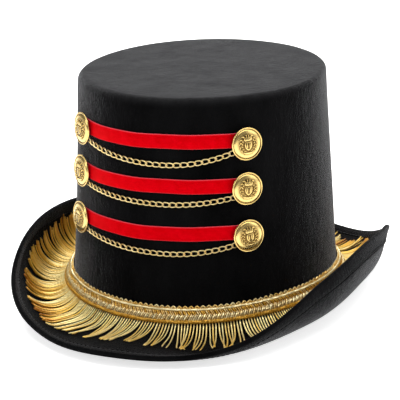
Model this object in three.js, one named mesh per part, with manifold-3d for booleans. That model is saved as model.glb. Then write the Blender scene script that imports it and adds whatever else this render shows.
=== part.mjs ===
import * as THREE from 'three';
import { mergeVertices } from 'three/addons/utils/BufferGeometryUtils.js';
import Module from 'manifold-3d';

const wasm = await Module();
wasm.setup();

// Ringmaster hat: a hollow tapered crown on a brim that rolls up at both sides, with a gold
// fringe round the crown and three ribbons, chains and pairs of buttons across the front.
// Millimetres, +Z up. The hat faces -Y and rests by its brim on z = 0.

// Crown, measured outside the wall
const crownHalfWidth = 94;
const crownHalfLength = 97.6;
const crownTopHalfWidth = 86.6;
const crownTopHalfLength = 89.3;
const crownHeight = 155;
const crownWall = 2.5;
const crownCorner = 6;
const crownDip = 4;

// Brim, its width measured along its own curve from the foot of the crown
const brimWidth = 66;
const brimThickness = 2.4;
const brimRimThickness = 1.4;
const brimFlattening = 1.8;
const brimFlatEase = 0.6;

// Sweatband, inside the foot of the crown
const sweatbandHeight = 14;
const sweatbandThickness = 1.5;

// Folded strip over the rim
const bindingWidth = 9;
const bindingThickness = 0.9;

// Header braid and fringe
const braidHeight = 15.6;
const braidReach = 6.5;
const fringeMargin = 1;
const fringeThickness = 1.8;

// Trimmings on the front of the crown
const ribbonWidth = 10;
const ribbonThickness = 1;
const ribbonRaise = 2;
const ribbonTuck = 3;
const buttonRadius = 11.4;
const buttonRim = 1.5;
const buttonGroove = 0.7;
const buttonDome = 3;
const buttonPost = 1.6;
const buttonRelief = 0.45;
const buttonTurn = 41.8;
const chainWidth = 3.8;
const chainThickness = 1.9;
const chainTuck = 3;

// Free space between neighbouring pieces
const clearance = 0.3;

// Facets round the hat
const facetCount = 56;
const facetTurn = 360 / facetCount;
const buttonFacets = 12;
const chainSides = 8;
const chainSteps = 14;
const chainPoints = 15;

// Side of the crown from foot to top: rise as a share of the height, and inset as a share of
// the difference between the foot and the top
const crownRows = [
  { rise: 0, inset: 0 },
  { rise: 0.1, inset: 0.16 },
  { rise: 0.4, inset: 0.49 },
  { rise: 1, inset: 1 },
];

// Brim sections from the front to the back: climb in degrees at the foot and at the rim, and
// width as a share of brimWidth
const brimRows = [
  { turn: 0, footClimb: -3.5, rimClimb: 9, width: 0.975 },
  { turn: 30, footClimb: -27.7, rimClimb: 41, width: 0.9 },
  { turn: 60, footClimb: -21.5, rimClimb: 102, width: 0.9 },
  { turn: 90, footClimb: -2.5, rimClimb: 110, width: 0.81 },
  { turn: 120, footClimb: -15.5, rimClimb: 91, width: 0.82 },
  { turn: 150, footClimb: -18, rimClimb: 21.5, width: 0.92 },
  { turn: 180, footClimb: -16, rimClimb: 18, width: 0.975 },
];

// Stations along the brim as shares of the way from the foot to the tips of the fringe
const fringeStations = [0, 0.1, 0.27, 0.5, 0.75, 1];

// Locks of the fringe, from the head to the tips: station along the brim, and loft as a
// multiple of the fringe's thickness
const lockRows = [
  { station: 1, loft: 1.9 },
  { station: 2, loft: 1.8 },
  { station: 3, loft: 1.15 },
  { station: 4, loft: 1 },
  { station: 5, loft: 0.6 },
];
const lockWidth = 0.8;
const lockLengths = [1, 0.35, 0.8, 0.15, 0.65, 0.9, 0.3];

// Section of the header braid, round from its top inner corner: out as a share of the
// braid's reach, and up as a share of its height
const braidRows = [
  { out: 0, up: 0.9 },
  { out: 0.15, up: 1 },
  { out: 0.4, up: 0.96 },
  { out: 0.98, up: 0.48 },
  { out: 1, up: 0.32 },
  { out: 0.66, up: 0.31 },
];

// Rows of trimmings: button height as a share of the crown's height, and the chain's height
// below the button where it leaves the rim and where it hangs lowest, in button radii. It
// leaves at a share of the radius from the middle of the button.
const trimRows = [
  { name: 'top', rise: 0.8, leave: 0.6, hang: 1.23 },
  { name: 'middle', rise: 0.6, leave: 0.58, hang: 0.92 },
  { name: 'bottom', rise: 0.387, leave: 0.6, hang: 1.05 },
];
const chainLowTurn = 7;
const chainLeave = 0.8;

const velour = { color: 0x0c0c0e, roughness: 0.95, metalness: 0 };
const leather = { color: 0x17120e, roughness: 0.6, metalness: 0 };
const velvet = { color: 0xb3001b, roughness: 0.8, metalness: 0 };
const goldThread = { color: 0xd0a23c, roughness: 0.45, metalness: 0.6 };
const goldMetal = { color: 0xe2b04a, roughness: 0.25, metalness: 1 };

const hat = new THREE.Group();
const hatTop = new THREE.Vector3(0, 0, crownHeight);

function addPiece(name, geometry, finish) {
  const mesh = new THREE.Mesh(geometry, new THREE.MeshStandardMaterial(finish));
  mesh.name = name;
  hat.add(mesh);
  return mesh;
}

function radians(degrees) {
  return THREE.MathUtils.degToRad(degrees);
}

// Point of an oval in plan. Turn 0 is the front, and 90 the right side.
function oval(turn, halfWidth, halfLength) {
  const angle = radians(turn);
  return new THREE.Vector2(halfWidth * Math.sin(angle), -halfLength * Math.cos(angle));
}

function facetTurns() {
  return Array.from({ length: facetCount }, (_, facet) => facet * facetTurn);
}

// Closed body from rings of points. The rings close on each other as a loop, or the first and
// the last are covered by fans about their middles. A quad is split along the diagonal that
// bows away from the top of the hat, so that faces that lie along each other are split alike.
function loft(rings, closing) {
  const count = rings[0].length;
  const corners = rings.flat();
  const triangles = [];
  const bow = (one, other) => corners[one].clone().lerp(corners[other], 0.5).distanceTo(hatTop);
  const strips = closing === 'loop' ? rings.length : rings.length - 1;
  for (let strip = 0; strip < strips; strip += 1) {
    const start = strip * count;
    const next = ((strip + 1) % rings.length) * count;
    for (let side = 0; side < count; side += 1) {
      const other = (side + 1) % count;
      const [a, b, c, d] = [start + side, start + other, next + other, next + side];
      if (bow(b, d) > bow(a, c)) {
        triangles.push([a, b, d], [b, c, d]);
      } else {
        triangles.push([a, b, c], [a, c, d]);
      }
    }
  }
  if (closing === 'fans') {
    const first = corners.push(middle(rings[0])) - 1;
    const last = corners.push(middle(rings.at(-1))) - 1;
    const start = (rings.length - 1) * count;
    for (let side = 0; side < count; side += 1) {
      const other = (side + 1) % count;
      triangles.push([other, side, first]);
      triangles.push([start + side, start + other, last]);
    }
  }
  const geometry = new THREE.BufferGeometry().setFromPoints(corners);
  geometry.setIndex(triangles.flat());
  return geometry;
}

function middle(points) {
  const sum = new THREE.Vector3();
  points.forEach((point) => sum.add(point));
  return sum.divideScalar(points.length);
}

function toSolid(geometry) {
  const bare = geometry.clone();
  bare.deleteAttribute('normal');
  bare.deleteAttribute('uv');
  const merged = mergeVertices(bare, 1e-4);
  const vertProperties = new Float32Array(merged.attributes.position.array);
  const triVerts = new Uint32Array(merged.index.array);
  return new wasm.Manifold(new wasm.Mesh({ numProp: 3, vertProperties, triVerts }));
}

function fused(geometries) {
  const mesh = wasm.Manifold.union(geometries.map(toSolid)).getMesh();
  const geometry = new THREE.BufferGeometry();
  geometry.setAttribute('position', new THREE.BufferAttribute(mesh.vertProperties, 3));
  geometry.setIndex(new THREE.BufferAttribute(mesh.triVerts, 1));
  return geometry;
}

// Value of a column at any turn: a smooth curve through the rows, the same on both sides
function brimValue(column, turn) {
  const last = brimRows.length - 1;
  const place = (Math.abs(((turn + 540) % 360) - 180) / 180) * last;
  const row = Math.min(Math.floor(place), last - 1);
  const share = place - row;
  const at = (index) => brimRows[last - Math.abs(last - Math.abs(index))][column];
  const [before, from, to, after] = [at(row - 1), at(row), at(row + 1), at(row + 2)];
  const bend = 2 * before - 5 * from + 4 * to - after;
  const twist = 3 * (from - to) + after - before;
  return from + 0.5 * share * (to - before + share * (bend + share * twist));
}

function brimLength(turn) {
  return brimWidth * brimValue('width', turn);
}

function brimClimb(turn, along) {
  if (along < 0) {
    return 0;
  }
  const share = along / brimLength(turn);
  const ease = 0.65 * share + 0.35 * share * share * (3 - 2 * share);
  const foot = brimValue('footClimb', turn);
  return radians(foot + (brimValue('rimClimb', turn) - foot) * ease);
}

// Section of the brim's upper face, summed along its curve from the foot of the crown
function brimCurve(turn, along) {
  if (along < 0) {
    return { out: along, up: 0 };
  }
  const steps = 40;
  const step = along / steps;
  let out = 0;
  let up = 0;
  for (let index = 0; index < steps; index += 1) {
    const climb = brimClimb(turn, (index + 0.5) * step);
    out += step * Math.cos(climb);
    up += step * Math.sin(climb);
  }
  return { out, up };
}

function footDrop(turn) {
  return crownDip * Math.cos(radians(turn)) ** 2;
}

// Height below or above the foot line of a point under the brim's upper face
function brimRise(turn, along, depth) {
  return brimCurve(turn, along).up - depth * Math.cos(brimClimb(turn, along)) - footDrop(turn);
}

function lowestRise() {
  const shares = Array.from({ length: 41 }, (_, index) => index / 40);
  const rises = facetTurns().flatMap((turn) =>
    shares.map((share) => brimRise(turn, share * brimLength(turn), brimThickness)),
  );
  return Math.min(...rises);
}

// Height of the crown's foot line at the sides, so that the brim is pressed flat by its
// flattening where it rests
const standHeight = -lowestRise() - brimFlattening;

// Lift that keeps the brim's underside on or above the surface, eased in round each flat
function restLift(turn, along) {
  const height = standHeight + brimRise(turn, along, brimThickness);
  if (height >= brimFlatEase) {
    return 0;
  }
  if (height <= -brimFlatEase) {
    return -height;
  }
  return (height + brimFlatEase) ** 2 / (4 * brimFlatEase) - height;
}

// Point at a distance out from the crown's foot, at a height above the surface
function outward(turn, out, height) {
  const foot = oval(turn, crownHalfWidth, crownHalfLength);
  const normal = oval(turn, 1 / crownHalfWidth, 1 / crownHalfLength).normalize();
  return new THREE.Vector3(foot.x + normal.x * out, foot.y + normal.y * out, height);
}

// Point on the brim, so far along its curve and so deep below its upper face
function brimPoint(turn, along, depth) {
  const out = brimCurve(turn, along).out + depth * Math.sin(brimClimb(turn, along));
  const height = standHeight + brimRise(turn, along, depth) + restLift(turn, along);
  return outward(turn, out, height);
}

// Half width and half length of the crown's outside at a height above its foot line
function crownHalves(height) {
  const rise = height / crownHeight;
  const above = crownRows.findIndex((row, index) => index > 0 && rise <= row.rise);
  const upper = crownRows[above < 0 ? crownRows.length - 1 : above];
  const lower = crownRows[crownRows.indexOf(upper) - 1];
  const share = (rise - lower.rise) / (upper.rise - lower.rise);
  const inset = lower.inset + (upper.inset - lower.inset) * share;
  return {
    width: crownHalfWidth + (crownTopHalfWidth - crownHalfWidth) * inset,
    length: crownHalfLength + (crownTopHalfLength - crownHalfLength) * inset,
  };
}

// Point on a facet edge of the crown, so far out from its outside
function crownEdge(turn, height, out) {
  const halves = crownHalves(height);
  const plan = oval(turn, halves.width + out, halves.length + out);
  return new THREE.Vector3(plan.x, plan.y, standHeight + height);
}

// The same at any turn, on the flat facet between two edges
function crownPoint(turn, height, out) {
  const facet = Math.floor(turn / facetTurn);
  const from = crownEdge(facet * facetTurn, height, out);
  const to = crownEdge((facet + 1) * facetTurn, height, out);
  return from.lerp(to, turn / facetTurn - facet);
}

function crownRing(height, out) {
  return facetTurns().map((turn) => crownEdge(turn, height, out));
}

// Lowest edge of the crown, which follows the dip at the front and back
function crownFootRing(out) {
  return facetTurns().map((turn) => {
    const point = crownEdge(turn, 0, out);
    point.z += clearance - footDrop(turn);
    return point;
  });
}

// Height at which the side of the crown ends and the rounded edge of its tip starts
const sideTop = crownHeight - crownCorner;

function makeCrown() {
  const sideHeights = crownRows.slice(1, -1).map((row) => row.rise * crownHeight);
  const heights = [...sideHeights, sideTop - clearance];
  const inner = heights.map((height) => crownRing(height, -crownWall)).reverse();
  const outer = heights.map((height) => crownRing(height, 0));
  return loft([...inner, crownFootRing(-crownWall), crownFootRing(0), ...outer], 'loop');
}

// Round an edge of the tip, from its outside at 0 degrees to its top at 90
function tipRing(degrees, radius, out) {
  const angle = radians(degrees);
  const halves = crownHalves(sideTop);
  const inset = radius * (1 - Math.cos(angle)) - out;
  const height = standHeight + sideTop + radius * Math.sin(angle);
  return facetTurns().map((turn) => {
    const plan = oval(turn, halves.width - inset, halves.length - inset);
    return new THREE.Vector3(plan.x, plan.y, height);
  });
}

function makeTip() {
  const innerCorner = crownCorner - crownWall;
  const inner = [90, 0].map((degrees) => tipRing(degrees, innerCorner, -crownWall));
  const outer = [0, 30, 60, 90].map((degrees) => tipRing(degrees, crownCorner, 0));
  return loft([...inner, ...outer], 'fans');
}

// How far out from the crown's outside the faces of the sweatband are
const sweatbandOut = -crownWall - clearance;
const sweatbandIn = sweatbandOut - sweatbandThickness;

// Stations along the brim at one turn: those of the fringe, and two more up to the binding
const narrowest = Math.min(...brimRows.map((row) => row.width)) * brimWidth;
const fringeLength = narrowest - bindingWidth - clearance - fringeMargin;

function brimStations(turn) {
  const edge = brimLength(turn) - bindingWidth - clearance;
  const covered = fringeStations.map((share) => share * fringeLength);
  return [...covered, (fringeLength + edge) / 2, edge];
}

function makeBrim() {
  const rebate = (brimThickness - brimRimThickness) / 2;
  const sections = facetTurns().map((turn) => {
    const stations = brimStations(turn);
    const edge = stations.at(-1);
    const rim = brimLength(turn);
    const mouth = crownEdge(turn, 0, sweatbandIn);
    const underMouth = mouth.clone();
    mouth.z -= footDrop(turn);
    underMouth.z += restLift(turn, 0) - footDrop(turn) - brimThickness;
    return [
      mouth,
      ...stations.map((along) => brimPoint(turn, along, 0)),
      brimPoint(turn, edge, rebate),
      brimPoint(turn, rim, rebate),
      brimPoint(turn, rim, brimThickness - rebate),
      brimPoint(turn, edge, brimThickness - rebate),
      ...stations.map((along) => brimPoint(turn, along, brimThickness)).reverse(),
      underMouth,
    ];
  });
  return loftSections(sections);
}

function makeSweatband() {
  const foot = clearance;
  const sections = facetTurns().map((turn) => {
    const corner = (height, out) => {
      const point = crownEdge(turn, height, out);
      point.z -= footDrop(turn);
      return point;
    };
    return [
      corner(foot, sweatbandOut),
      corner(foot, sweatbandIn),
      corner(foot + sweatbandHeight, sweatbandIn),
      corner(foot + sweatbandHeight, sweatbandOut),
    ];
  });
  return loftSections(sections);
}

// Ring-shaped body from one closed section at each turn
function loftSections(sections) {
  const rings = sections[0].map((_, index) => sections.map((section) => section[index]));
  return loft(rings.reverse(), 'loop');
}

function makeBinding() {
  const rebate = (brimThickness - brimRimThickness) / 2;
  const innerTop = rebate - clearance;
  const outerTop = innerTop - bindingThickness;
  const innerUnder = brimThickness - innerTop;
  const outerUnder = brimThickness - outerTop;
  const sections = facetTurns().map((turn) => {
    const rim = brimLength(turn);
    const start = rim - bindingWidth;
    const seat = rim + clearance;
    return [
      brimPoint(turn, start, outerTop),
      brimPoint(turn, rim, outerTop),
      brimPoint(turn, seat + bindingThickness, brimThickness / 2),
      brimPoint(turn, rim, outerUnder),
      brimPoint(turn, start, outerUnder),
      brimPoint(turn, start, innerUnder),
      brimPoint(turn, seat, innerUnder),
      brimPoint(turn, seat, innerTop),
      brimPoint(turn, start, innerTop),
    ];
  });
  return loftSections(sections);
}

// Point in the hollow between the crown and the brim: out from the crown's side, and up from
// the foot line
function covePoint(turn, out, up) {
  const point = crownEdge(turn, up, out);
  point.z -= footDrop(turn);
  return point;
}

function makeBraid() {
  const sections = facetTurns().map((turn) =>
    braidRows.map((row) =>
      covePoint(turn, clearance + row.out * (braidReach - clearance), row.up * braidHeight),
    ),
  );
  return loftSections(sections);
}

// Head of the fringe, which fills the hollow behind the braid
function makeFringeHead() {
  const [topRow, underRow] = [braidRows[0], braidRows.at(-1)];
  const under = underRow.up * braidHeight - clearance;
  const reach = underRow.out * braidReach;
  const sections = facetTurns().map((turn) => [
    covePoint(turn, clearance, clearance),
    covePoint(turn, clearance, topRow.up * braidHeight - 4 * clearance),
    covePoint(turn, reach - clearance, under),
    brimPoint(turn, reach + 2 * clearance, -under),
    brimPoint(turn, reach + 2 * clearance, -clearance),
    brimPoint(turn, clearance, -clearance),
  ]);
  return loftSections(sections);
}

// One lock, on the flat of one facet of the brim
function makeLock(facet) {
  const inset = (1 - lockWidth) / 2;
  const from = facet * facetTurn;
  const tipShare = lockLengths[facet % lockLengths.length];
  const rings = lockRows.map((row, index) => {
    const here = fringeStations[row.station] * fringeLength;
    const before = fringeStations[row.station - 1] * fringeLength;
    const isTip = index === lockRows.length - 1;
    const corner = (share, depth) => {
      const point = facetPoint(from, share, here, depth);
      return isTip ? facetPoint(from, share, before, depth).lerp(point, tipShare) : point;
    };
    const under = index === 0 ? -2 * clearance : -clearance;
    const top = -clearance - row.loft * fringeThickness;
    return [corner(inset, under), corner(1 - inset, under), corner(0.5, top)];
  });
  return loft(rings, 'fans');
}

function facetPoint(from, share, along, depth) {
  const start = brimPoint(from, along, depth);
  return start.lerp(brimPoint(from + facetTurn, along, depth), share);
}

function makeFringe() {
  const locks = facetTurns().map((_, facet) => makeLock(facet));
  return fused([makeFringeHead(), ...locks]);
}

function makeRibbon(height) {
  const end = buttonTurn + THREE.MathUtils.radToDeg(ribbonTuck / crownHalfWidth);
  const first = -Math.floor(end / facetTurn);
  const edges = Array.from({ length: 1 - 2 * first }, (_, index) => (first + index) * facetTurn);
  const [low, high] = [height - ribbonWidth / 2, height + ribbonWidth / 2];
  const outside = clearance + ribbonThickness;
  const rings = [-end, ...edges, end].map((turn) => [
    crownPoint(turn, low, clearance),
    crownPoint(turn, high, clearance),
    crownPoint(turn, high, outside),
    crownPoint(turn, low, outside),
  ]);
  return loft(rings, 'fans');
}

// Space under a button, where the end of a chain is tucked
const buttonLift = chainThickness + 2 * clearance;

function makeShield() {
  const shape = new THREE.Shape();
  const half = buttonRadius * 0.22;
  shape.moveTo(-half, half);
  shape.lineTo(-half, -half * 0.4);
  shape.quadraticCurveTo(-half, -half * 1.3, 0, -half * 1.7);
  shape.quadraticCurveTo(half, -half * 1.3, half, -half * 0.4);
  shape.lineTo(half, half);
  return shape;
}

function makeCoronet() {
  const shape = new THREE.Shape();
  const half = buttonRadius * 0.22;
  shape.moveTo(-half, half * 1.5);
  shape.lineTo(half, half * 1.5);
  shape.lineTo(half * 1.25, half * 2.6);
  shape.lineTo(half * 0.5, half * 2.1);
  shape.lineTo(0, half * 2.8);
  shape.lineTo(-half * 0.5, half * 2.1);
  shape.lineTo(-half * 1.25, half * 2.6);
  return shape;
}

function makeLeaf(side) {
  const shape = new THREE.Shape();
  const span = buttonRadius * 0.13;
  shape.moveTo(side * span * 1.2, -span * 4.2);
  shape.lineTo(side * span * 4.6, -span * 1.8);
  shape.lineTo(side * span * 4.9, span * 2.6);
  shape.lineTo(side * span * 3.1, -span * 0.9);
  return shape;
}

// Shank button about +Z, with a rolled rim and a generic shield, coronet and leaves
function makeButton() {
  const seat = clearance + ribbonThickness + clearance - buttonLift;
  const profile = [
    [0, seat],
    [buttonPost, seat],
    [buttonPost, 0],
    [buttonRadius - buttonRim / 3, 0],
    [buttonRadius, buttonRim / 2],
    [buttonRadius - buttonRim / 3, buttonRim],
    [buttonRadius - buttonRim, buttonRim * buttonGroove],
    [0, buttonDome],
  ];
  const points = profile.map(([radius, height]) => new THREE.Vector2(radius, height));
  const body = new THREE.LatheGeometry(points, buttonFacets);
  body.rotateX(Math.PI / 2);
  const emblems = [makeShield(), makeCoronet(), makeLeaf(-1), makeLeaf(1)];
  const depth = buttonDome + buttonRelief - buttonRim;
  const raised = emblems.map((shape) => {
    const settings = { depth, bevelEnabled: false, curveSegments: 2 };
    return new THREE.ExtrudeGeometry(shape, settings).translate(0, 0, buttonRim);
  });
  return fused([body, ...raised]);
}

function placeButton(mesh, turn, height) {
  const normal = oval(turn, 1 / crownHalfWidth, 1 / crownHalfLength).normalize();
  const side = new THREE.Vector3(-normal.y, normal.x, 0);
  const low = crownPoint(turn, height - buttonRadius, 0);
  const up = crownPoint(turn, height + buttonRadius, 0).sub(low).normalize();
  const face = new THREE.Vector3().crossVectors(side, up);
  mesh.position.copy(crownPoint(turn, height, 0)).addScaledVector(face, buttonLift);
  mesh.quaternion.setFromRotationMatrix(new THREE.Matrix4().makeBasis(side, up, face));
}

// Chain as the tube that its links fill, hung between the undersides of two buttons
function makeChain(row) {
  const height = row.rise * crownHeight;
  const degreesPerLength = 180 / (Math.PI * crownHalfWidth);
  const leaveTurn = buttonTurn - chainLeave * buttonRadius * degreesPerLength;
  const endTurn = leaveTurn + chainTuck * degreesPerLength;
  const lowest = height - row.hang * buttonRadius;
  const sag = (row.hang - row.leave) * buttonRadius;
  const points = Array.from({ length: chainPoints }, (_, index) => {
    const turn = endTurn * ((2 * index) / (chainPoints - 1) - 1);
    const end = Math.sign(turn - chainLowTurn) * leaveTurn;
    const share = (turn - chainLowTurn) / (end - chainLowTurn);
    return crownEdge(turn, lowest + sag * share * share, buttonLift / 2);
  });
  const angles = Array.from({ length: chainSides }, (_, side) => (side * 2 * Math.PI) / chainSides);
  const [halfWidth, halfThickness] = [chainWidth / 2, chainThickness / 2];
  const section = new THREE.Shape(
    angles.map((angle) =>
      new THREE.Vector2(halfWidth * Math.cos(angle), halfThickness * Math.sin(angle)),
    ),
  );
  return new THREE.ExtrudeGeometry(section, {
    steps: chainSteps,
    bevelEnabled: false,
    extrudePath: new THREE.CatmullRomCurve3(points),
  });
}

addPiece('crown', makeCrown(), velour);
addPiece('crown_tip', makeTip(), velour);
addPiece('sweatband', makeSweatband(), leather);
addPiece('brim', makeBrim(), velour);
addPiece('brim_binding', makeBinding(), velour);
addPiece('fringe', makeFringe(), goldThread);
addPiece('fringe_braid', makeBraid(), goldThread);

const buttonGeometry = makeButton();
trimRows.forEach((row) => {
  const height = row.rise * crownHeight;
  addPiece(`ribbon_${row.name}`, makeRibbon(height + ribbonRaise), velvet);
  placeButton(addPiece(`button_left_${row.name}`, buttonGeometry, goldMetal), -buttonTurn, height);
  placeButton(addPiece(`button_right_${row.name}`, buttonGeometry, goldMetal), buttonTurn, height);
  addPiece(`chain_${row.name}`, makeChain(row), goldMetal);
});

export default hat;
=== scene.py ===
import math
import random
from functools import lru_cache

import bmesh
import bpy
from mathutils import Matrix, Vector


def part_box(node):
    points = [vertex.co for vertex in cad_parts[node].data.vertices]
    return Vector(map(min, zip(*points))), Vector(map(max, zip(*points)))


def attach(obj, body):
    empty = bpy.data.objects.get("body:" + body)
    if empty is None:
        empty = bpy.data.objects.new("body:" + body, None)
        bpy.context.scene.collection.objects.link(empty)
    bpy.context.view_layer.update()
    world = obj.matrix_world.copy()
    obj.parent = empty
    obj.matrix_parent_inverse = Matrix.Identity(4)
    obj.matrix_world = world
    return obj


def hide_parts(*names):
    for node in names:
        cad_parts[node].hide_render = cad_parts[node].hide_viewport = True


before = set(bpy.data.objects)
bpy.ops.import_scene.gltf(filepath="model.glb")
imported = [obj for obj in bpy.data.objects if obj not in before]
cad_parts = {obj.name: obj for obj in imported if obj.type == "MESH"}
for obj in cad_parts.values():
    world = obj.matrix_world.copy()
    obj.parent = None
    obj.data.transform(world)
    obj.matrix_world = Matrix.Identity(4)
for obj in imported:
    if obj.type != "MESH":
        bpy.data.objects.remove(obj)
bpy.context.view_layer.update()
scene = bpy.context.scene
mm = 0.001

# Main form of the hat in millimetres, as in the solids. Turn 0 is the front, 90 the right side.
form = {
    "footHalfWidth": 94, "footHalfLength": 97.6,
    "topHalfWidth": 86.6, "topHalfLength": 89.3,
    "crownHeight": 155, "crownWall": 2.5, "crownCorner": 6, "crownDip": 4,
    "brimWidth": 66, "brimThickness": 2.4, "rebate": 0.5, "flatEase": 0.6,
    "bindingWidth": 9, "clearance": 0.3,
    "dipFade": 30,  # height at which the crown's dip at the front and back has faded away
    "brimRoll": 0.35,  # share of the brim's climb that comes late, towards the rim
}
# Side of the crown: rise and inset as shares, and how steeply the inset grows there
crownRows = [(0, 0, 1.75), (0.1, 0.16, 1.35), (0.4, 0.49, 0.97), (1, 1, 0.8)]
# Brim every 30 degrees from the front: climb at the foot and at the rim, width as a share
brimRows = [
    (-3.5, 9, 0.975), (-27.7, 41, 0.9), (-21.5, 102, 0.9), (-2.5, 110, 0.81),
    (-15.5, 91, 0.82), (-18, 21.5, 0.92), (-16, 18, 0.975),
]
# How far the sewn hat is off its even form, outwards but for the last, which is upwards:
# turn, crown's foot, crown's top, rim, lift of the rim
unevenRows = [
    (-180, 0, 0.6, 0, 0), (-150, 0.3, 0, 0.8, 0.6), (-120, 1.2, -0.3, 2.6, 1.8),
    (-90, 2.3, -0.4, 1.8, 0.8), (-60, 2.2, -0.4, 1.5, 0), (-40, 1.2, -0.2, 2.2, 0),
    (-20, 0.3, 0, 0.6, 0), (0, 0, 0, -0.6, 0), (30, 0, 0, -0.6, 0), (60, 0, 0.2, 0, 0),
    (90, 0.1, 0.9, 0, 0), (120, 0.2, 1.4, -0.4, -0.4), (150, 0, 1.3, -0.4, -0.8), (180, 0, 0.6, 0, 0),
]
# Slight waves of the crown's side: size, waves round the crown, start, height that turns them
swayWaves = [(0.3, 3, 1.1, 46), (0.2, 5, 0, -31)]
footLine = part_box("crown_tip")[1].z / mm - form["crownHeight"]


def oval(turn, halfWidth, halfLength):
    angle = math.radians(turn)
    return Vector((halfWidth * math.sin(angle), -halfLength * math.cos(angle), 0))


def footDrop(turn):
    return form["crownDip"] * math.cos(math.radians(turn)) ** 2


@lru_cache(maxsize=None)
def uneven(turn):  # the values of unevenRows, eased from one row to the next
    place = (turn + 180) % 360 - 180
    row = max(index for index in range(len(unevenRows) - 1) if place >= unevenRows[index][0])
    start, end = unevenRows[row:row + 2]
    share = (place - start[0]) / (end[0] - start[0])
    share = share * share * (3 - 2 * share)
    return [a + (b - a) * share for a, b in zip(start[1:], end[1:])]


def brimValue(column, turn):  # smooth curve through the rows, the same on both sides
    place = abs((turn + 540) % 360 - 180) / 30
    row = min(int(place), 5)
    share = place - row
    before, start, end, after = (
        brimRows[6 - abs(6 - abs(row + step))][column] for step in (-1, 0, 1, 2)
    )
    bend = 2 * before - 5 * start + 4 * end - after
    twist = 3 * (start - end) + after - before
    return start + 0.5 * share * (end - before + share * (bend + share * twist))


def brimLength(turn):
    return form["brimWidth"] * brimValue(2, turn)


@lru_cache(maxsize=None)
def brimLine(halfTurns):  # (out, height, climb) of the upper face every half millimetre
    turn = halfTurns / 2
    foot, rim, length = brimValue(0, turn), brimValue(1, turn), brimLength(turn)
    thickness, ease = form["brimThickness"], form["flatEase"]

    def climbAt(along):
        share = along / length
        eased = 1 - form["brimRoll"] + form["brimRoll"] * share * (3 - 2 * share)
        return math.radians(foot + (rim - foot) * share * eased)

    out, up, line = 0, footLine - footDrop(turn), []
    for step in range(int(length * 2) + 10):
        climb = climbAt(step / 2)
        under = up - thickness * math.cos(climb)
        bounded = min(max(under, -ease), ease)
        lift = (bounded + ease) ** 2 / (4 * ease) - bounded - min(under + ease, 0)
        line.append((out, up + lift, climb))
        middle = climbAt(step / 2 + 0.25)
        out += 0.5 * math.cos(middle)
        up += 0.5 * math.sin(middle)
    return line


def brimPoint(turn, along, depth):  # so far along the brim, so deep below its upper face
    half = (turn % 360) * 2
    step = max(along, 0) * 2
    row, index = int(half), int(step)
    parts = []
    for line in (brimLine(row % 720), brimLine((row + 1) % 720)):
        here, ahead = line[min(index, len(line) - 2)], line[min(index + 1, len(line) - 1)]
        parts.append([a + (b - a) * (step - index) for a, b in zip(here, ahead)])
    out, height, climb = (a + (b - a) * (half - row) for a, b in zip(*parts))
    if along < 0:
        out, climb = along, 0
    foot = oval(turn, form["footHalfWidth"], form["footHalfLength"])
    normal = oval(turn, 1 / form["footHalfWidth"], 1 / form["footHalfLength"]).normalized()
    footSwell, _, rimSwell, rimLift = uneven(turn)
    share = min(max(along, 0) / brimLength(turn), 1.02)
    point = foot + normal * (out + depth * math.sin(climb) + footSwell + (rimSwell - footSwell) * share)
    point.z = height - depth * math.cos(climb) + rimLift * share ** 2
    return point * mm


def crownPoint(turn, height, out=0, share=1):  # share under 1 moves in over the lid
    rise = max(height, 0) / form["crownHeight"]
    row = max(index for index in range(len(crownRows) - 1) if rise >= crownRows[index][0])
    (low, from0, slope0), (high, to1, slope1) = crownRows[row:row + 2]
    span = high - low
    part = (rise - low) / span
    rest = 1 - part
    inset = from0 * (1 + 2 * part) * rest ** 2 + to1 * (1 + 2 * rest) * part ** 2
    inset += span * part * rest * (slope0 * rest - slope1 * part)
    angle = math.radians(turn)
    footSwell, topSwell = uneven(turn)[:2]
    sway = footSwell + (topSwell - footSwell) * rise
    for size, waves, start, turning in swayWaves:
        sway += size * math.sin(waves * angle + start + height / turning)
    halves = (
        form["foot" + side] + (form["top" + side] - form["foot" + side]) * inset + out + sway
        for side in ("HalfWidth", "HalfLength")
    )
    point = oval(turn, *halves) * share
    point.z = footLine + height - footDrop(turn) * max(0, 1 - height / form["dipFade"])
    return point * mm


def wrapGrid(bm, columns, rows, place, tone=None, finish=0):
    # A grid wrapped into shape. Its seams and poles are welded where its corners meet.
    uv = bm.loops.layers.uv.verify()
    toneLayer = bm.verts.layers.float.get("tone") or bm.verts.layers.float.new("tone")
    grid = bmesh.ops.create_grid(bm, x_segments=columns, y_segments=rows, size=0.5, calc_uvs=True)
    verts = grid["verts"]
    for vert in verts:
        across, along = vert.co.x + 0.5, vert.co.y + 0.5
        vert[toneLayer] = tone(across, along) if callable(tone) else tone or 0
        vert.co = place(across, along)
    if finish:
        for face in {face for vert in verts for face in vert.link_faces}:
            face.material_index = finish
    bmesh.ops.remove_doubles(bm, verts=verts, dist=2e-6)


def framed(points, ups, closed=False):  # each point with its side and its up direction
    count = len(points)
    made = []
    for index, point in enumerate(points):
        if closed:
            ahead = points[(index + 1) % count] - points[index - 1]
        else:
            ahead = points[min(index + 1, count - 1)] - points[max(index - 1, 0)]
        side = ahead.cross(ups[index]).normalized()
        made.append((point, side, side.cross(ahead).normalized()))
    return made


def addThread(bm, path, radius, sides=6, tone=0, finish=0, closed=False):
    # A thread along framed points. An open one is narrowed and shut at both ends.
    rows = len(path) if closed else len(path) + 1
    narrow = 0.72

    def place(across, along):
        row = round(along * rows)
        if closed:
            point, side, up = path[row % len(path)]
            size = radius
        else:
            point, side, up = path[min(max(row - 1, 0), len(path) - 1)]
            size = 0 if row in (0, rows) else radius * (narrow if row in (1, rows - 1) else 1)
        angle = 2 * math.pi * across
        return point + side * (size * math.cos(angle)) + up * (size * math.sin(angle))

    wrapGrid(bm, sides, rows, place, tone, finish)


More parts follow.
